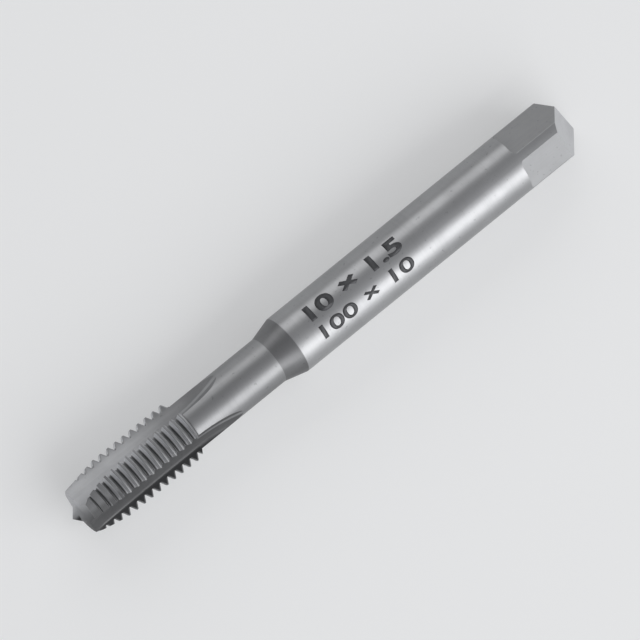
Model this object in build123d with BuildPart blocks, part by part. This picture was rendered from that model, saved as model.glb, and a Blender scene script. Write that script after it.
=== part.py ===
from build123d import *
from math import acos, cos, degrees, radians, sin, sqrt, tan
import os

os.makedirs("parts", exist_ok=True)

# Spiral point machine tap, M10 x 1.5, with three straight flutes. Millimetres and degrees.
# It is drawn upright on Z with the tip down, and laid along X at the end, tip towards -X,
# with one land upwards and one flute downwards. The origin is on the axis, in the middle
# of the round shank. A station is a distance from the tip along the axis.

# Lengths from the tip
overall_length = 100.0
neck_end = 39.2
thread_end = 22.6

# Round sections
shank_diameter = 10.0
neck_diameter = 8.0
shoulder_half_angle = 15.0

# Male centre, and the front face that falls back around it
centre_diameter = 3.4
centre_half_angle = 49.0
front_slope = 12.0

# Thread
pitch = 1.5
crest_diameter = 10.1
root_diameter = 8.04
root_flat = 0.1
flank_half_angle = 30.0
thread_run_down = 0.7
crest_station = 15.66
crest_bearing = 88.0

# Tapered and relieved lead
lead_front_diameter = 8.1
lead_angle = 9.5
lead_relief = 0.13
relief_bearing = 62.0

# Flutes
flute_count = 3
land_angle = 57.5
rake_angle = 8.0
rake_depth = 1.65
flute_corner_radius = 0.7
flute_floor_radius = 3.9
flute_straight_end = 21.6
wheel_radius = 30.0

# Spiral point grinds
grind_end = 15.0
grind_radius = 90.0
grind_angle = 7.2
grind_dive_angle = 15.0
nose_radius = 5.0
nose_angle = 33.0

# Drive square
square_size = 8.0
square_length = 12.2
square_corner_radius = 1.3
square_side_margin = 0.25

# Roof shaped end: two unequal bevels, each with its drop below the end where it crosses the axis
steep_bevel_drop = 1.38
steep_bevel_slope = 36.8
steep_bevel_bearing = 218.2
shallow_bevel_drop = 0.65
shallow_bevel_slope = 31.0
shallow_bevel_bearing = 80.6

# Sizes that follow
shank_radius = shank_diameter / 2
neck_radius = neck_diameter / 2
crest_radius = crest_diameter / 2
root_radius = root_diameter / 2
centre_radius = centre_diameter / 2
shoulder_end = neck_end + (shank_radius - neck_radius) / tan(radians(shoulder_half_angle))
square_start = overall_length - square_length
origin_station = (shoulder_end + square_start) / 2
front_station = centre_radius / tan(radians(centre_half_angle))
front_edge_station = front_station + (crest_radius - centre_radius) * tan(radians(front_slope))
flute_half_angle = (360 / flute_count - land_angle) / 2
clear = 1.0


def height(station):
    return station - origin_station


def polar(radius, bearing):
    return (radius * cos(radians(bearing)), radius * sin(radians(bearing)))


def side_plane(bearing):
    # Through the axis, its x along the bearing and its y along the axis
    across = polar(1, bearing)
    return Plane(origin=(0, 0, 0), x_dir=(*across, 0), z_dir=(across[1], -across[0], 0))


# Thread groove across one land: a trapezoid on a short piece of the right-hand helix
groove_outer_radius = crest_radius + 0.1
groove_opening = root_flat / 2 + (groove_outer_radius - root_radius) * tan(radians(flank_half_angle))
groove_bearing = flute_half_angle / 4
groove_turn = 1 / flute_count - 2 * groove_bearing / 360
groove_station = crest_station + pitch / 2 + pitch * (groove_bearing - crest_bearing) / 360
groove_start = groove_station - pitch * int((groove_station - front_station) / pitch)
groove_count = int(flute_count * (thread_end + pitch - groove_start) / pitch)

with BuildPart() as groove_cutter:
    with BuildLine() as groove_path:
        Helix(pitch=pitch, height=pitch * groove_turn, radius=root_radius, center=(0, 0, 0))
    groove_plane = Plane(origin=groove_path.line @ 0, x_dir=(1, 0, 0), z_dir=groove_path.line % 0)
    with BuildSketch(groove_plane):
        with BuildLine():
            Polyline(
                (0, -root_flat / 2),
                (groove_outer_radius - root_radius, -groove_opening),
                (groove_outer_radius - root_radius, groove_opening),
                (0, root_flat / 2),
                close=True,
            )
        make_face()
    sweep(path=groove_path.line, is_frenet=True)

# The same groove on every land and turn, each one step further along the screw
groove_places = [
    Location(
        (0, 0, height(groove_start) + step * pitch / flute_count),
        (0, 0, groove_bearing + step * 360 / flute_count),
    )
    for step in range(groove_count)
]

# Lead relief on one land: what lies outside a cone set off towards the cutting edge
half_land = land_angle / 2
land_bearing = 180 / flute_count
relief_offset = lead_relief / (
    cos(radians(relief_bearing - half_land)) - cos(radians(relief_bearing + half_land))
)
lead_front_radius = lead_front_diameter / 2 - relief_offset * cos(radians(relief_bearing - half_land))
lead_slope = tan(radians(lead_angle))
lead_length = (crest_radius + relief_offset - lead_front_radius) / lead_slope + clear
lead_axis = polar(relief_offset, land_bearing - relief_bearing)

with BuildPart() as lead_cutter:
    with BuildSketch(Plane.XY.offset(height(front_station) - clear)):
        with BuildLine():
            Polyline(
                (0, 0),
                polar(2 * crest_radius, 0),
                polar(2 * crest_radius, land_bearing),
                polar(2 * crest_radius, 2 * land_bearing),
                close=True,
            )
        make_face()
    extrude(amount=lead_length)
    with Locations((*lead_axis, height(front_station) - 2 * clear)):
        Cone(
            bottom_radius=lead_front_radius - 2 * clear * lead_slope,
            top_radius=lead_front_radius + (lead_length + clear) * lead_slope,
            height=lead_length + 3 * clear,
            align=(Align.CENTER, Align.CENTER, Align.MIN),
            mode=Mode.SUBTRACT,
        )

# Flute section: a hooked rake face, a rounded corner and a hollow floor up to the heel
rake_bearing = flute_half_angle - rake_angle
cutting_edge = Vector(*polar(crest_radius, flute_half_angle))
heel_edge = Vector(*polar(crest_radius, -flute_half_angle))
flute_corner = cutting_edge - Vector(*polar(rake_depth, rake_bearing))
rake_outer = cutting_edge + Vector(*polar(clear, rake_bearing))
heel_outer = heel_edge + Vector(*polar(clear, -flute_half_angle))

with BuildSketch() as flute_section:
    with BuildLine():
        Line(rake_outer, flute_corner)
        RadiusArc(flute_corner, heel_edge, -flute_floor_radius)
        Line(heel_edge, heel_outer)
        Line(heel_outer, rake_outer)
    make_face()
    fillet(flute_section.vertices().sort_by_distance((flute_corner.X, flute_corner.Y, 0))[0], flute_corner_radius)

# Flute: straight along the thread, then out on the radius of the wheel
run_out_angle = degrees(acos(1 - neck_radius / wheel_radius))

with BuildPart() as flute_cutter:
    with BuildLine(side_plane(0)) as flute_path:
        Line((flute_corner.X, -origin_station - clear), (flute_corner.X, height(flute_straight_end)))
        RadiusArc(
            (flute_corner.X, height(flute_straight_end)),
            (
                flute_corner.X + neck_radius,
                height(flute_straight_end) + wheel_radius * sin(radians(run_out_angle)),
            ),
            wheel_radius,
        )
    with BuildSketch(Plane.XY.offset(-origin_station - clear)):
        add(flute_section.sketch)
    sweep(path=flute_path.line)

# Spiral point: the same section, swung into the land towards the tip, more sharply at the nose
grind_swing = grind_radius * (1 - cos(radians(grind_angle)))
grind_fall = grind_radius * sin(radians(grind_angle))
nose_swing = grind_swing + nose_radius * (cos(radians(grind_angle)) - cos(radians(nose_angle)))
nose_fall = grind_fall + nose_radius * (sin(radians(nose_angle)) - sin(radians(grind_angle)))
nose_straight = grind_end - nose_fall + 2 * clear

with BuildPart() as grind_cutter:
    with BuildLine(side_plane(90 + grind_dive_angle)) as grind_path:
        RadiusArc(
            (0, height(grind_end)),
            (grind_swing, height(grind_end) - grind_fall),
            -grind_radius,
        )
        RadiusArc(
            (grind_swing, height(grind_end) - grind_fall),
            (nose_swing, height(grind_end) - nose_fall),
            -nose_radius,
        )
        Line(
            (nose_swing, height(grind_end) - nose_fall),
            (
                nose_swing + nose_straight * tan(radians(nose_angle)),
                height(grind_end) - nose_fall - nose_straight,
            ),
        )
    with BuildSketch(Plane.XY.offset(height(grind_end))):
        add(flute_section.sketch)
    sweep(path=grind_path.line)

# Square: one flat's pocket, with rounded inner corners
flat_distance = square_size / 2
flat_width = 2 * sqrt(shank_radius**2 - flat_distance**2) + 2 * square_side_margin
flat_origin = (*polar(flat_distance, 45), height(square_start))

with BuildPart() as flat_cutter:
    with BuildSketch(Plane(origin=flat_origin, x_dir=(0, 0, 1), z_dir=(*polar(1, 45), 0))) as flat_outline:
        Rectangle(square_length + clear, flat_width, align=(Align.MIN, Align.CENTER))
        fillet(flat_outline.vertices().group_by(Axis.Z)[0], square_corner_radius)
    extrude(amount=shank_radius)

# Roof shaped end: the two wedges that the bevels take off the blank's flat end
steep_centre = height(overall_length) - steep_bevel_drop
steep_rise = shank_radius * tan(radians(steep_bevel_slope))
shallow_centre = height(overall_length) - shallow_bevel_drop
shallow_rise = shank_radius * tan(radians(shallow_bevel_slope))

with BuildPart() as end_cutter:
    with BuildSketch(side_plane(steep_bevel_bearing)):
        with BuildLine():
            Polyline(
                (-shank_radius, steep_centre + steep_rise),
                (shank_radius, steep_centre - steep_rise),
                (shank_radius, steep_centre + steep_rise),
                close=True,
            )
        make_face()
    extrude(amount=shank_radius, both=True)
    with BuildSketch(side_plane(shallow_bevel_bearing)):
        with BuildLine():
            Polyline(
                (-shank_radius, shallow_centre + shallow_rise),
                (shank_radius, shallow_centre - shallow_rise),
                (shank_radius, shallow_centre + shallow_rise),
                close=True,
            )
        make_face()
    extrude(amount=shank_radius, both=True)

# The turned blank, then every cut in it
with BuildPart() as upright_tap:
    with BuildSketch(Plane.YZ):
        with BuildLine():
            Polyline(
                (0, height(0)),
                (centre_radius, height(front_station)),
                (crest_radius, height(front_edge_station)),
                (crest_radius, height(thread_end - thread_run_down)),
                (neck_radius, height(thread_end)),
                (neck_radius, height(neck_end)),
                (shank_radius, height(shoulder_end)),
                (shank_radius, height(overall_length)),
                (0, height(overall_length)),
                close=True,
            )
        make_face()
    revolve(axis=Axis.Z)
    with PolarLocations(0, flute_count):
        add(lead_cutter.part, mode=Mode.SUBTRACT)
    with PolarLocations(0, flute_count):
        add(flute_cutter.part, mode=Mode.SUBTRACT)
    with PolarLocations(0, flute_count):
        add(grind_cutter.part, mode=Mode.SUBTRACT)
    with PolarLocations(0, 4):
        add(flat_cutter.part, mode=Mode.SUBTRACT)
    add(end_cutter.part, mode=Mode.SUBTRACT)
    with Locations(*groove_places):
        add(groove_cutter.part, mode=Mode.SUBTRACT)

# Laid down along X
with BuildPart() as spiral_point_tap:
    add(upright_tap.part, rotation=(0, 90, 0))

spiral_point_tap.part.label = "spiral_point_tap"
export_step(spiral_point_tap.part, "parts/spiral_point_tap.step")
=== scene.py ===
import math
from types import SimpleNamespace

import bpy
from mathutils import Matrix, Vector


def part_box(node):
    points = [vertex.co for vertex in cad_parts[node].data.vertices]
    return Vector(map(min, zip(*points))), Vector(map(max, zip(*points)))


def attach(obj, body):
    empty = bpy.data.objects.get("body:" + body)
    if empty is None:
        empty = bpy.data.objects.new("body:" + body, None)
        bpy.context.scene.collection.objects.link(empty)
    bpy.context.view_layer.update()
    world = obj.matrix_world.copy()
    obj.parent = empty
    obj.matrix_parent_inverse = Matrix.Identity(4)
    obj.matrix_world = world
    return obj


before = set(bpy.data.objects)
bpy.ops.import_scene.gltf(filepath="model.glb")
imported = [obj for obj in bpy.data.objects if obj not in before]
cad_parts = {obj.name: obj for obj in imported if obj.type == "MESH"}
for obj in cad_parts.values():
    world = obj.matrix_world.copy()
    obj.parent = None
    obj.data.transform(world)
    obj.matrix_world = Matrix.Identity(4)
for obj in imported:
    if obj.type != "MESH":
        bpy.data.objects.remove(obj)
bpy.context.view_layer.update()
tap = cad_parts["spiral_point_tap"]
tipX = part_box("spiral_point_tap")[0].x
mm = 0.001
shankRadius = 5.0 * mm
print("frame loaded")


class Wire:  # one output socket; sums on it add Math nodes
    def __init__(self, shader, socket):
        self.shader = shader
        self.socket = socket

    def sibling(self, name):  # another output of the same node
        return Wire(self.shader, self.socket.node.outputs[name])

    def maths(self, operation, *values):
        return self.shader.node("ShaderNodeMath", {"operation": operation}, dict(enumerate(values)))

    def __add__(self, other):
        return self.maths("ADD", self, other)

    def __radd__(self, other):
        return self.maths("ADD", other, self)

    def __sub__(self, other):
        return self.maths("SUBTRACT", self, other)

    def __rsub__(self, other):
        return self.maths("SUBTRACT", other, self)

    def __mul__(self, other):
        return self.maths("MULTIPLY", self, other)

    def __rmul__(self, other):
        return self.maths("MULTIPLY", other, self)

    def __truediv__(self, other):
        return self.maths("DIVIDE", self, other)

    def __abs__(self):
        return self.maths("ABSOLUTE", self)

    def root(self):
        return self.maths("SQRT", self)

    def fraction(self):
        return self.maths("FRACT", self)

    def bearing(self, other):  # the angle whose tangent is this over the other
        return self.maths("ARCTAN2", self, other)

    def least(self, other):
        return self.maths("MINIMUM", self, other)

    def ramp(self, low, high):  # 0 up to low, 1 from high, smooth between
        return self.shader.node(
            "ShaderNodeMapRange",
            {"interpolation_type": "SMOOTHSTEP"},
            {"Value": self, "From Min": low, "From Max": high},
        )


class Shader:
    def __init__(self, owner):  # a material or a world
        self.owner = owner
        owner.use_nodes = True
        self.tree = owner.node_tree
        self.tree.nodes.clear()

    def node(self, kind, settings=None, inputs=None, output=0):
        made = self.tree.nodes.new(kind)
        for name, value in (settings or {}).items():
            setattr(made, name, value)
        for name, value in (inputs or {}).items():
            if isinstance(value, Wire):
                self.tree.links.new(value.socket, made.inputs[name])
            else:
                made.inputs[name].default_value = value
        return Wire(self, made.outputs[output]) if made.outputs else None

    def parts(self, value):  # x, y and z of a vector
        split = self.node("ShaderNodeSeparateXYZ", inputs={0: value})
        return [split.sibling(axis) for axis in "XYZ"]

    def blend(self, factor, first, second):  # of two colours, on the node's sockets 6 and 7
        return self.node(
            "ShaderNodeMix", {"data_type": "RGBA"}, {"Factor": factor, 6: first, 7: second}, 2
        )

    def finish(self, surface, output="ShaderNodeOutputMaterial"):
        self.node(output, inputs={"Surface": surface})
        return self.owner


# Camera: above the tool, leaning to its tip, and rolled so that the tool climbs to the right
camera = {
    "lean": 14.0,  # degrees from straight above, towards the tip
    "climb": 39.02,  # degrees of the axis across the picture
    "aim": (tipX + 49.37 * mm, -0.14 * mm, 0.0),
    "width": 96.82 * mm,  # seen across the picture
    "lens": 1500.0,  # long, so that there is almost no perspective
    "sensor": 36.0,
    "nearest": 0.1,  # metres from the camera, from where to where it sees
    "furthest": 20.0,
}


def makeCamera():
    lean = math.radians(camera["lean"])
    climb = math.radians(camera["climb"])
    back = Vector((-math.sin(lean), 0, math.cos(lean)))
    along = Vector((math.cos(lean), 0, math.sin(lean)))  # the axis, as it lies in the picture
    across = Vector((0, 1, 0))
    right = math.cos(climb) * along - math.sin(climb) * across
    up = math.sin(climb) * along + math.cos(climb) * across
    distance = camera["width"] * camera["lens"] / camera["sensor"]
    place = Matrix((right, up, back)).transposed().to_4x4()
    place.translation = Vector(camera["aim"]) + back * distance
    data = bpy.data.cameras.new("camera")
    data.lens = camera["lens"]
    data.sensor_width = camera["sensor"]
    data.clip_start = camera["nearest"]
    data.clip_end = camera["furthest"]
    made = bpy.data.objects.new("camera", data)
    made.matrix_world = place
    bpy.context.collection.objects.link(made)
    bpy.context.scene.camera = made


makeCamera()
print("camera placed")


# Floor under the tool, which lies on its shank
floor = {
    "height": -shankRadius,
    "size": 6.0,
    "colour": (0.56, 0.564, 0.568, 1),
    "roughness": 0.7,
    "specular": 0.2,
    "glow": (0.80, 0.805, 0.81, 1),
    "lift": 0.40,  # of the glow, added where the floor is seen, mirrored or behind glass
}


def makeFloor():
    bpy.ops.object.select_all(action="DESELECT")
    bpy.ops.mesh.primitive_plane_add(size=floor["size"], location=(0, 0, floor["height"]))
    made = bpy.context.active_object
    made.name = "floor"
    shader = Shader(bpy.data.materials.new("pale floor"))
    plain = {
        "Base Color": floor["colour"],
        "Roughness": floor["roughness"],
        "Specular IOR Level": floor["specular"],
    }
    lifted = plain | {"Emission Color": floor["glow"], "Emission Strength": floor["lift"]}
    seen = shader.node("ShaderNodeLightPath", output="Is Camera Ray")
    surface = shader.node(
        "ShaderNodeMixShader",
        inputs={
            0: seen + seen.sibling("Is Glossy Ray") + seen.sibling("Is Transmission Ray"),
            1: shader.node("ShaderNodeBsdfPrincipled", inputs=plain),
            2: shader.node("ShaderNodeBsdfPrincipled", inputs=lifted),
        },
    )
    made.data.materials.append(shader.finish(surface))


makeFloor()
print("floor laid")


# Light: a long soft box to each side of the tool, the near one brighter, in a grey room that is
# darker on the far side and round the camera
lamps = {
    "near": {"turn": -56.0, "lean": 14.0, "distance": 0.60, "size": (0.9, 0.40), "power": 2.35},
    "far": {"turn": 58.0, "lean": 14.0, "distance": 0.60, "size": (0.9, 0.36), "power": 1.25},
}
room = {
    "nearWall": (0.62, 0.627, 0.64, 1),
    "farWall": (0.120, 0.121, 0.124, 1),
    "wallBlend": (-0.8, 0.8),  # from the near wall to the far one
    "overhead": (0.400, 0.403, 0.412, 1),
    "overheadEdge": (44.0, 12.0),  # degrees from the camera's direction, outer and inner
    "horizon": (0.80, 0.805, 0.81, 1),  # a narrow pale band, level with the tool
    "horizonEdge": (0.02, 0.04),  # how steeply up or down it ends
}


def makeLamp(name):
    values = lamps[name]
    turn = math.radians(values["turn"])
    lean = math.radians(values["lean"])
    reach = math.cos(lean)
    away = Vector((math.sin(lean), reach * math.sin(turn), reach * math.cos(turn)))
    side = away.cross(Vector((1, 0, 0))).normalized()
    length = side.cross(away).normalized()
    place = Matrix((length, side, away)).transposed().to_4x4()
    place.translation = Vector(camera["aim"]) + away * values["distance"]
    data = bpy.data.lights.new(name + " soft box", "AREA")
    data.shape = "RECTANGLE"
    data.size, data.size_y = values["size"]
    data.energy = values["power"]
    made = bpy.data.objects.new(name + "SoftBox", data)
    made.matrix_world = place
    bpy.context.collection.objects.link(made)


def makeRoom():
    shader = Shader(bpy.data.worlds.new("grey room"))
    lean = math.radians(camera["lean"])
    x, y, z = shader.parts(shader.node("ShaderNodeTexCoord", output="Generated"))
    towardsCamera = z * math.cos(lean) - x * math.sin(lean)
    outer, inner = (math.cos(math.radians(angle)) for angle in room["overheadEdge"])
    colour = shader.blend(y.ramp(*room["wallBlend"]), room["nearWall"], room["farWall"])
    colour = shader.blend(towardsCamera.ramp(outer, inner), colour, room["overhead"])
    colour = shader.blend(abs(z).ramp(*room["horizonEdge"]), room["horizon"], colour)
    surface = shader.node("ShaderNodeBackground", inputs={"Color": colour})
    bpy.context.scene.world = shader.finish(surface, "ShaderNodeOutputWorld")


for name in lamps:
    makeLamp(name)
makeRoom()
bpy.context.scene.view_settings.view_transform = "Standard"
print("lights set")


# Steel: ground round on the shank and neck, along the tool in the flutes and on the flats.
# Starts, ends and stations are distances from the tip. A pair says where a change begins and
# where it is complete: Across is from the axis to the far side, Depth is down from the crests,
# and Turn and Slant are how far a face is turned.
steel = {
    # Tones of the plain regions
    "shank": (0.460, 0.464, 0.474, 1),
    "neck": (0.370, 0.373, 0.381, 1),
    "shoulder": (0.265, 0.267, 0.273, 1),
    "flat": (0.440, 0.444, 0.453, 1),
    # painted shade: the flats on the far side darker
    "flatFar": (0.340, 0.343, 0.350, 1),
    "end": (0.620, 0.625, 0.639, 1),
    # painted shade on the near side of the centre's cone
    "centreShade": (0.050, 0.050, 0.052, 1),
    # Tones of the thread, with painted light and shade among them
    "crest": (0.520, 0.524, 0.536, 1),  # and the flanks
    # painted light: crests and flanks lighter on the far side
    "crestFar": (0.780, 0.786, 0.803, 1),
    # painted shade along the crest tops
    "crestLine": (0.360, 0.363, 0.371, 1),
    # painted highlight along the flanks that face the tip
    "flankLine": (0.900, 0.905, 0.920, 1),
    "lead": (0.330, 0.333, 0.340, 1),
    # painted shade on the lead's near side
    "leadShaded": (0.190, 0.192, 0.196, 1),
    # painted shade in the thread's grooves
    "groove": (0.200, 0.202, 0.206, 1),
    # the grooves' painted shade, lighter on the far side
    "grooveFar": (0.400, 0.403, 0.412, 1),
    # Tones of the flutes, with painted shade and a painted highlight among them
    "flute": (0.620, 0.625, 0.639, 1),  # at the tip
    "fluteDull": (0.300, 0.302, 0.309, 1),  # at the neck
    "fluteShaded": (0.180, 0.181, 0.185, 1),  # painted shade, on the near side
    "rake": (0.130, 0.131, 0.134, 1),  # painted shade on the rake faces, on the near side
    "toothHighlight": (0.500, 0.504, 0.515, 1),  # painted highlight along the edges of the teeth
    # Roughness
    "roughness": 0.42,
    "threadRoughness": 0.55,
    "leadRoughness": 0.70,
    "fluteRoughness": 0.62,
    "rakeRoughness": 0.34,
    "flatRoughness": 0.46,
    # Plain regions
    "edge": 0.05 * mm,  # softness of a region's edge
    "centreEnd": 1.25 * mm,
    "centreRadius": 1.10 * mm,
    "centreAcross": (-0.6 * mm, 0.1 * mm),
    "neckEnd": 39.2 * mm,
    "shoulderEnd": 42.93 * mm,
    "flatsStart": 87.8 * mm,
    "endTurn": (0.5, 0.7),
    # Thread
    "threadEnd": 22.6 * mm,
    "threadFade": 0.3 * mm,
    "pitch": 1.5 * mm,
    "crestStation": 15.66 * mm,
    "crestBearing": 88.0,  # degrees from straight down, towards the far side
    "crestRadius": 5.05 * mm,
    "crestAcross": (-1.5 * mm, 1.5 * mm),
    "crestLineDepth": (0.02 * mm, 0.14 * mm),
    "flankAngle": 30.0,
    "flankTurn": (0.3, 0.5),
    "flankLineDepth": 0.58 * mm,
    "flankLineReach": (0.05 * mm, 0.14 * mm),  # up and down from that depth
    "rootRadius": 4.02 * mm,
    "rootHalfWidth": 0.05 * mm,
    "grooveDepth": (0.05 * mm, 0.25 * mm),
    "grooveHeight": (0.15 * mm, 0.42 * mm),  # above the root
    "grooveAcross": (0.5 * mm, 2.4 * mm),
    "toothHighlightReach": (0.108 * mm, 0.27 * mm),  # of the painted highlight, out from the groove
    # Lead
    "leadEnd": 7.6 * mm,
    "leadFade": 0.2 * mm,
    "leadRadius": 3.80 * mm,  # of the lead's cone, run on to the tip
    "leadSlope": 0.167,
    "leadDepth": (0.20 * mm, 0.40 * mm),
    "leadTurn": (0.4, 0.6),
    "leadAcross": (-1.5 * mm, -0.5 * mm),
    # Flutes
    "fluteSlant": (0.10, 0.22),
    "fluteFade": (9.0 * mm, 26.0 * mm),  # from the tip
    "fluteAcross": (-2.2 * mm, 1.8 * mm),
    "rakeSlant": (0.93, 0.97),
    # Fine marks: rings, lengthways lines, slow clouds and small specks
    "rings": {"scale": (5200, 45, 45), "detail": 3.0},
    "lengths": {"scale": (45, 5200, 5200), "detail": 3.0},
    "clouds": {"scale": (160, 160, 160), "detail": 4.0},
    "specks": {"scale": (1500, 1500, 1500), "detail": 1.0},
    "grain": 0.6,
    "markDepth": 0.004 * mm,
    "markStrength": 0.35,
    "cloudLevels": (0.35, 0.75),
    "speckLevels": (0.69, 0.77),
    "markRoughness": 0.10,
    "cloudRoughness": 0.06,
    # Wear and painted shade: the share of the tone that is lost
    "markWear": 0.08,
    "cloudWear": 0.10,
    "speckWear": 0.18,
    "nearShade": 0.23,  # painted shade on the near side, as far as the shoulder
    "nearShadeAcross": (-3.5 * mm, 0.5 * mm),
    "farShade": 0.22,  # painted shade along the far side of the shank and neck
    "farAcross": (2.7 * mm, 3.7 * mm),
    "nearEdgeShade": 0.15,  # painted shade along their near side, measured the other way
    "nearAcross": (3.4 * mm, 4.2 * mm),
}


def findRegions(shader):  # each region is 1 inside and 0 outside
    at = SimpleNamespace(place=shader.node("ShaderNodeTexCoord", output="Object"))
    x, at.y, at.z = shader.parts(at.place)
    at.faceX, faceY, faceZ = shader.parts(shader.node("ShaderNodeTexCoord", output="Normal"))
    at.station = x - tipX
    at.radius = (at.y * at.y + at.z * at.z).root()
    slant = abs(faceY * at.z - faceZ * at.y) / at.radius  # 0 on turned and threaded surfaces
    edge = steel["edge"]

    def after(name, reach=edge):
        return at.station.ramp(steel[name] - reach, steel[name] + reach)

    def inside(radius):
        return 1 - at.radius.ramp(radius - 2 * edge, radius - edge)

    at.pastNeck = after("neckEnd")
    at.pastShoulder = after("shoulderEnd")
    at.pastShank = after("flatsStart")
    at.centre = (1 - after("centreEnd")) * inside(steel["centreRadius"])
    at.flats = at.pastShank * inside(shankRadius)
    at.thread = 1 - after("threadEnd", steel["threadFade"])
    flutes = (1 - at.pastNeck) * slant.ramp(*steel["fluteSlant"])
    at.flutes = flutes + at.thread * inside(steel["rootRadius"]) * (1 - flutes)
    # 1 on the far side, out of the painted shade of the near side's flutes
    at.clean = at.y.ramp(*steel["fluteAcross"])
    # rake faces of the near side, which carry painted shade
    at.rake = at.flutes * at.thread * slant.ramp(*steel["rakeSlant"]) * (1 - at.clean)
    crests = (at.station * steel["leadSlope"] + steel["leadRadius"]).least(steel["crestRadius"])
    at.depth = crests - at.radius
    lead = (1 - after("leadEnd", steel["leadFade"])) * (1 - at.depth.ramp(*steel["leadDepth"]))
    at.lead = lead * (1 - abs(at.faceX).ramp(*steel["leadTurn"]))
    return at


def toothEdges(at):  # a narrow band along both sides of each groove, where the painted highlight goes
    turn = (at.y.bearing(0 - at.z) - math.radians(steel["crestBearing"])) / math.tau
    phase = ((at.station - steel["crestStation"]) / steel["pitch"] - turn).fraction()
    above = at.radius - steel["rootRadius"]
    halfWidth = above * math.tan(math.radians(steel["flankAngle"])) + steel["rootHalfWidth"]
    fromGroove = abs(phase - 0.5) * steel["pitch"] - halfWidth
    return (1 - fromGroove.ramp(*steel["toothHighlightReach"])) * above.ramp(0.0, steel["edge"])


def threadColour(shader, at):
    crestLine = 1 - at.depth.ramp(*steel["crestLineDepth"])
    fromLine = abs(at.depth - steel["flankLineDepth"])
    towardsTip = (0 - at.faceX).ramp(*steel["flankTurn"])
    flankLine = towardsTip * (1 - fromLine.ramp(*steel["flankLineReach"]))
    risen = (at.radius - steel["rootRadius"]).ramp(*steel["grooveHeight"])
    inGroove = at.depth.ramp(*steel["grooveDepth"]) * (1 - risen)
    # the lead's tone, with painted shade on its near side
    lead = shader.blend(at.y.ramp(*steel["leadAcross"]), steel["leadShaded"], steel["lead"])
    # painted shade in the grooves, lighter on the far side
    groove = shader.blend(at.y.ramp(*steel["grooveAcross"]), steel["groove"], steel["grooveFar"])
    # painted light: crests and flanks lighter on the far side
    colour = shader.blend(at.y.ramp(*steel["crestAcross"]), steel["crest"], steel["crestFar"])
    # painted highlight along the flanks that face the tip
    colour = shader.blend(flankLine, colour, steel["flankLine"])
    # painted shade along the crest tops
    colour = shader.blend(crestLine, colour, steel["crestLine"])
    colour = shader.blend(at.lead, colour, lead)
    return shader.blend(inGroove, colour, groove)


def fluteColour(shader, at):
    colour = shader.blend(at.station.ramp(*steel["fluteFade"]), steel["flute"], steel["fluteDull"])
    # painted shade over the flutes of the near side
    colour = shader.blend(at.clean, steel["fluteShaded"], colour)
    # painted shade on the rake faces
    colour = shader.blend(at.rake, colour, steel["rake"])
    # painted highlight along the edges of the teeth
    return shader.blend(toothEdges(at) * at.thread, colour, steel["toothHighlight"])


def steelColour(shader, at):
    onShoulder = at.pastNeck * (1 - at.pastShoulder)
    # painted shade on the near side of the centre's cone
    shadedCentre = at.centre * (1 - at.y.ramp(*steel["centreAcross"]))
    onEnd = at.pastShank * at.faceX.ramp(*steel["endTurn"])
    # painted shade: the flats on the far side darker
    farFlats = at.y.ramp(-steel["edge"], steel["edge"])
    flats = shader.blend(farFlats, steel["flat"], steel["flatFar"])
    colour = shader.blend(at.pastNeck, steel["neck"], steel["shank"])
    colour = shader.blend(onShoulder, colour, steel["shoulder"])
    colour = shader.blend(at.thread, colour, threadColour(shader, at))
    colour = shader.blend(at.flutes, colour, fluteColour(shader, at))
    colour = shader.blend(shadedCentre, colour, steel["centreShade"])
    colour = shader.blend(at.flats, colour, flats)
    return shader.blend(onEnd, colour, steel["end"])


def steelMarks(shader, at, name):
    scale = {"Vector": at.place, "Scale": steel[name]["scale"]}
    noise = {
        "Vector": shader.node("ShaderNodeMapping", inputs=scale),
        "Scale": 1.0,
        "Detail": steel[name]["detail"],
        "Roughness": steel["grain"],
    }
    return shader.node("ShaderNodeTexNoise", inputs=noise)


def steelWearAndShade(shader, at, relief, clouds):  # the share of the tone that is kept after wear and painted shade
    specks = steelMarks(shader, at, "specks").ramp(*steel["speckLevels"]) * steel["speckWear"]
    clouding = clouds.ramp(*steel["cloudLevels"]) * steel["cloudWear"]
    # painted shade: the near side as far as the shoulder, and both sides of the shank and neck
    nearShade = (1 - at.pastShoulder) * (1 - at.y.ramp(*steel["nearShadeAcross"])) * steel["nearShade"]
    far = at.y.ramp(*steel["farAcross"]) * steel["farShade"]
    near = (0 - at.y).ramp(*steel["nearAcross"]) * steel["nearEdgeShade"]
    turned = (1 - at.flats) * (1 - at.flutes) * (1 - at.thread)
    kept = 1 - (clouding + relief * steel["markWear"] + specks)
    return kept * (1 - nearShade) * (1 - (far + near) * turned)


def steelRoughness(at, relief, clouds):
    onThread = at.thread * (1 - at.flutes)
    return (
        steel["roughness"]
        + at.flutes * (steel["fluteRoughness"] - steel["roughness"])
        + at.rake * (steel["rakeRoughness"] - steel["fluteRoughness"])
        + onThread * (steel["threadRoughness"] - steel["roughness"])
        + onThread * at.lead * (steel["leadRoughness"] - steel["threadRoughness"])
        + at.flats * (steel["flatRoughness"] - steel["roughness"])
        + (relief - 0.5) * steel["markRoughness"]
        + (clouds - 0.5) * steel["cloudRoughness"]
    )


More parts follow.
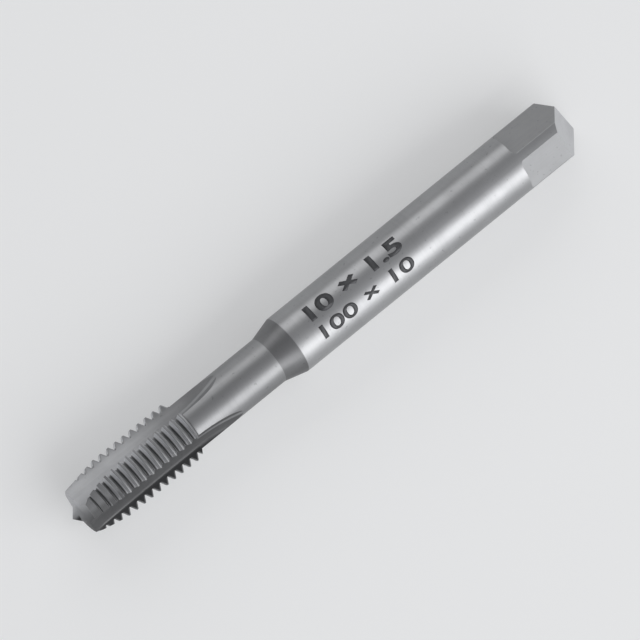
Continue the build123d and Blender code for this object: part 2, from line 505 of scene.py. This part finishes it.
def makeSteel():
    shader = Shader(bpy.data.materials.new("ground steel"))
    at = findRegions(shader)
    rings = steelMarks(shader, at, "rings")
    lengths = steelMarks(shader, at, "lengths")
    clouds = steelMarks(shader, at, "clouds")
    lengthways = at.flutes + at.flats * (1 - at.flutes)
    relief = rings + lengthways * (lengths - rings)
    bump = {
        "Height": relief,
        "Strength": steel["markStrength"],
        "Distance": steel["markDepth"],
    }
    colour = shader.node(
        "ShaderNodeVectorMath",
        {"operation": "SCALE"},
        {0: steelColour(shader, at), "Scale": steelWearAndShade(shader, at, relief, clouds)},
    )
    surface = shader.node(
        "ShaderNodeBsdfPrincipled",
        inputs={
            "Base Color": colour,
            "Metallic": 1.0,
            "Roughness": steelRoughness(at, relief, clouds),
            "Normal": shader.node("ShaderNodeBump", inputs=bump),
        },
    )
    return shader.finish(surface)


tap.data.materials.clear()
tap.data.materials.append(makeSteel())
print("steel finished")


# Marking: plain numbers on the shank, etched dark. Each line has its height across the tool, the
# size of its letters, how much they are fattened, and how far they are drawn out along the tool.
marking = {
    "middle": -9.5 * mm,  # along the tool
    "lines": (
        ("10 × 1.5", 1.45 * mm, 3.3 * mm, 0.13 * mm, 1.76),
        ("100 × 10", -2.02 * mm, 2.9 * mm, 0.06 * mm, 1.82),
    ),
    "formerSides": 360,
    "formerLength": 40 * mm,
    "cut": 0.3 * mm,  # from one cut to the next, so that the letters bend round the shank
    "proud": 0.02 * mm,
    "sunk": 0.01 * mm,
    "colour": (0.07, 0.071, 0.075, 1),
    "worn": (0.105, 0.1065, 0.1125, 1),
    "metallic": 0.55,
    "roughness": 0.5,
    "grainScale": 9000.0,
    "grainDetail": 3.0,
    "grain": 0.6,
    "grainRoughness": 0.2,
}


def makeEtching():
    shader = Shader(bpy.data.materials.new("dark etching"))
    noise = {
        "Vector": shader.node("ShaderNodeTexCoord", output="Object"),
        "Scale": marking["grainScale"],
        "Detail": marking["grainDetail"],
        "Roughness": marking["grain"],
    }
    grain = shader.node("ShaderNodeTexNoise", inputs=noise)
    surface = shader.node(
        "ShaderNodeBsdfPrincipled",
        inputs={
            "Base Color": shader.blend(grain, marking["colour"], marking["worn"]),
            "Metallic": marking["metallic"],
            "Roughness": marking["roughness"] + (grain - 0.5) * marking["grainRoughness"],
        },
    )
    return shader.finish(surface)


def makeLine(words, height, letters, weight, width):  # flat, above the shank
    bpy.ops.object.select_all(action="DESELECT")
    bpy.ops.object.text_add(location=(marking["middle"], height, 2 * shankRadius))
    text = bpy.context.active_object
    text.data.body = words
    text.data.size = letters
    text.data.offset = weight
    text.data.align_x = "CENTER"
    text.data.align_y = "CENTER"
    text.scale.x = width
    bpy.ops.object.convert(target="MESH")
    return bpy.context.active_object


def makeMarking():
    bpy.ops.object.select_all(action="DESELECT")
    bpy.ops.mesh.primitive_cylinder_add(
        vertices=marking["formerSides"],
        radius=shankRadius + (marking["proud"] - marking["sunk"]) / 2,
        depth=marking["formerLength"],
        location=(marking["middle"], 0, 0),
        rotation=(0, math.pi / 2, 0),
    )
    former = bpy.context.active_object
    lines = [makeLine(*line) for line in marking["lines"]]
    bpy.ops.object.select_all(action="DESELECT")
    for line in lines:
        line.select_set(True)
    bpy.context.view_layer.objects.active = lines[0]
    bpy.ops.object.join()
    made = bpy.context.active_object
    made.name = "size_marking"
    bpy.ops.object.transform_apply(location=True, rotation=True, scale=True)
    cut = -shankRadius
    while cut < shankRadius:
        bpy.ops.object.mode_set(mode="EDIT")
        bpy.ops.mesh.select_all(action="SELECT")
        bpy.ops.mesh.bisect(plane_co=(0, cut, 0), plane_no=(0, 1, 0))
        bpy.ops.object.mode_set(mode="OBJECT")
        cut += marking["cut"]
    wrap = made.modifiers.new("wrap", "SHRINKWRAP")
    wrap.wrap_method = "PROJECT"
    wrap.use_project_z = True
    wrap.use_positive_direction = False
    wrap.use_negative_direction = True
    wrap.target = former
    bpy.ops.object.modifier_apply(modifier="wrap")
    thicken = made.modifiers.new("thicken", "SOLIDIFY")
    thicken.thickness = marking["proud"] + marking["sunk"]
    thicken.offset = 0
    bpy.ops.object.modifier_apply(modifier="thicken")
    bpy.data.objects.remove(former)
    made.data.materials.clear()
    made.data.materials.append(makeEtching())
    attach(made, "root")


makeMarking()
print("marking etched")
